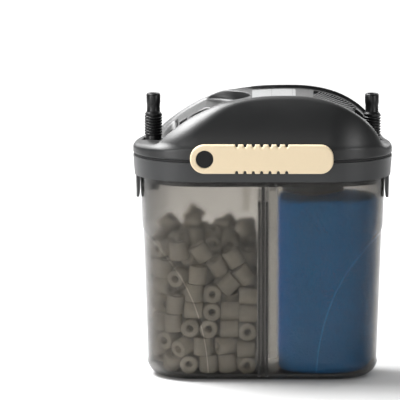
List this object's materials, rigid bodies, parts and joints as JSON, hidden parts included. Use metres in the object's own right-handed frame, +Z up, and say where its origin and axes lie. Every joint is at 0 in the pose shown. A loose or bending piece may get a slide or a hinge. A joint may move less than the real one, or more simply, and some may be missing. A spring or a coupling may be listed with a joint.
{
  "type": "canister filter",
  "caption": "Aquarium canister filter: smoked tub with a partition and media, under a domed pump head with hose nozzles and turning lock levers.",
  "frame": {"origin": "middle of the tub's underside, which is the middle of the whole box's underside", "axes": "+X along the length, from the inlet nozzle to the outlet nozzle; +Y from the front to the back; +Z up"},
  "size_m": [0.185, 0.104, 0.2056],
  "materials": {
    "smoked_plastic": "frosted, see-through smoked plastic with a satin outside",
    "dark_plastic": "fine satin moulding",
    "band_plastic": "satin smoked-black moulding",
    "cover_plastic": "fine spark-eroded satin grain",
    "nozzle_plastic": "smooth black moulding",
    "cream_plastic": "smooth satin cream moulding",
    "pin_plastic": "satin black moulding",
    "label_film": "white film with grey ruled lines",
    "ceramic": "dry porous fired clay",
    "blue_foam": "open-cell foam",
    "white_floss": "pressed fibre floss",
    "seal_rubber": "soft black rubber",
    "steel": "zinc-plated steel",
    "laminations": "stacked electrical steel",
    "copper_wire": "enamelled copper wire",
    "bobbin_plastic": "natural nylon",
    "magnet": "sintered ferrite",
    "white_ceramic": "polished alumina",
    "cam_plastic": "grey acetal"
  },
  "bodies": {
    "tub": {"container": "smoked_plastic", "partition": "dark_plastic", "ceramic_rings": "ceramic", "sponge_block": "blue_foam", "floss_pad": "white_floss"},
    "head": {"head_base": "dark_plastic", "main_seal": "seal_rubber", "lock_band": "band_plastic", "cover_gasket": "seal_rubber", "head_cover": "cover_plastic", "rating_label": "label_film", "cable_grommet": "seal_rubber", "cover_screws": "steel", "inlet_nozzle": "nozzle_plastic", "outlet_nozzle": "nozzle_plastic", "nozzle_seals": "seal_rubber", "inlet_spout": "dark_plastic", "pump_chamber": "dark_plastic", "outlet_duct": "dark_plastic", "intake_strainer": "dark_plastic", "stator_core": "laminations", "coil_bobbins": "bobbin_plastic", "stator_coils": "copper_wire", "upper_bush": "seal_rubber", "lower_bush": "seal_rubber", "rotor_shaft": "white_ceramic"},
    "rotor": {"rotor_magnet": "magnet", "impeller": "bobbin_plastic"},
    "front_lock": {"front_lever": "cream_plastic", "front_pivot_pin": "pin_plastic", "front_cam": "cam_plastic"},
    "rear_lock": {"rear_lever": "cream_plastic", "rear_pivot_pin": "pin_plastic", "rear_cam": "cam_plastic"}
  },
  "joints": [
    {"name": "head_lift", "type": "slide", "parent": "tub", "child": "head", "axis": [0, 0, 1], "range_m": [0, 0.06]},
    {"name": "front_lever_turn", "type": "hinge", "parent": "head", "child": "front_lock", "pos_m": [-0.041, -0.05, 0.1627], "axis": [0, -1, 0], "range_deg": [0, 90]},
    {"name": "rear_lever_turn", "type": "hinge", "parent": "head", "child": "rear_lock", "pos_m": [0.041, 0.05, 0.1627], "axis": [0, 1, 0], "range_deg": [0, 90]},
    {"name": "impeller_spin", "type": "hinge", "parent": "head", "child": "rotor", "pos_m": [0.036, 0, 0.155], "axis": [0, 0, 1], "continuous": true}
  ]
}
